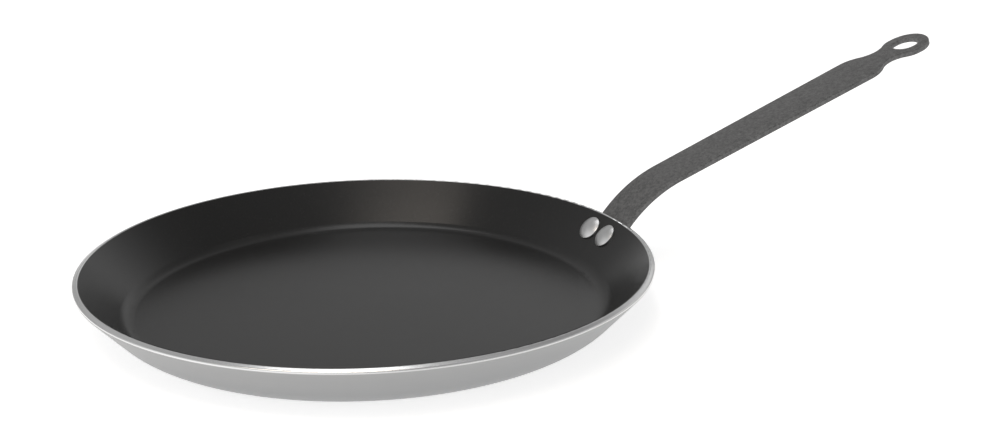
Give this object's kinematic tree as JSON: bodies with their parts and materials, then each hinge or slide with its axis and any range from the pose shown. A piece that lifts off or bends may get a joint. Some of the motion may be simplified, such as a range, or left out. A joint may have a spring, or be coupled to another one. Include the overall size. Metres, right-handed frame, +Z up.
{
  "type": "crepe pan",
  "caption": "Round shallow crepe pan: straight flared wall, dark coated inside, bare rim, and a riveted, rising strip handle with a hanging eye.",
  "frame": {"origin": "centre of the flat outer face of the base, on the plane that the pan rests on", "axes": "+Z up, out of the pan; +X from the pan's axis towards the handle; +Y to the left of the handle, seen from the pan's centre"},
  "size_m": [0.5153, 0.3, 0.1086],
  "materials": {
    "body_metal": "satin outside, brighter on the turned rim face",
    "coating": "dark grey non-stick coat, satin, faintly mottled",
    "handle_metal": "steel under a thin dark grey satin coat with a fine grain",
    "rivet_metal": "bare, bright, softly polished"
  },
  "bodies": {
    "root": {"pan_body": "body_metal", "nonstick_coating": "coating", "handle": "handle_metal", "rivet_left": "rivet_metal", "rivet_right": "rivet_metal"}
  },
  "joints": []
}
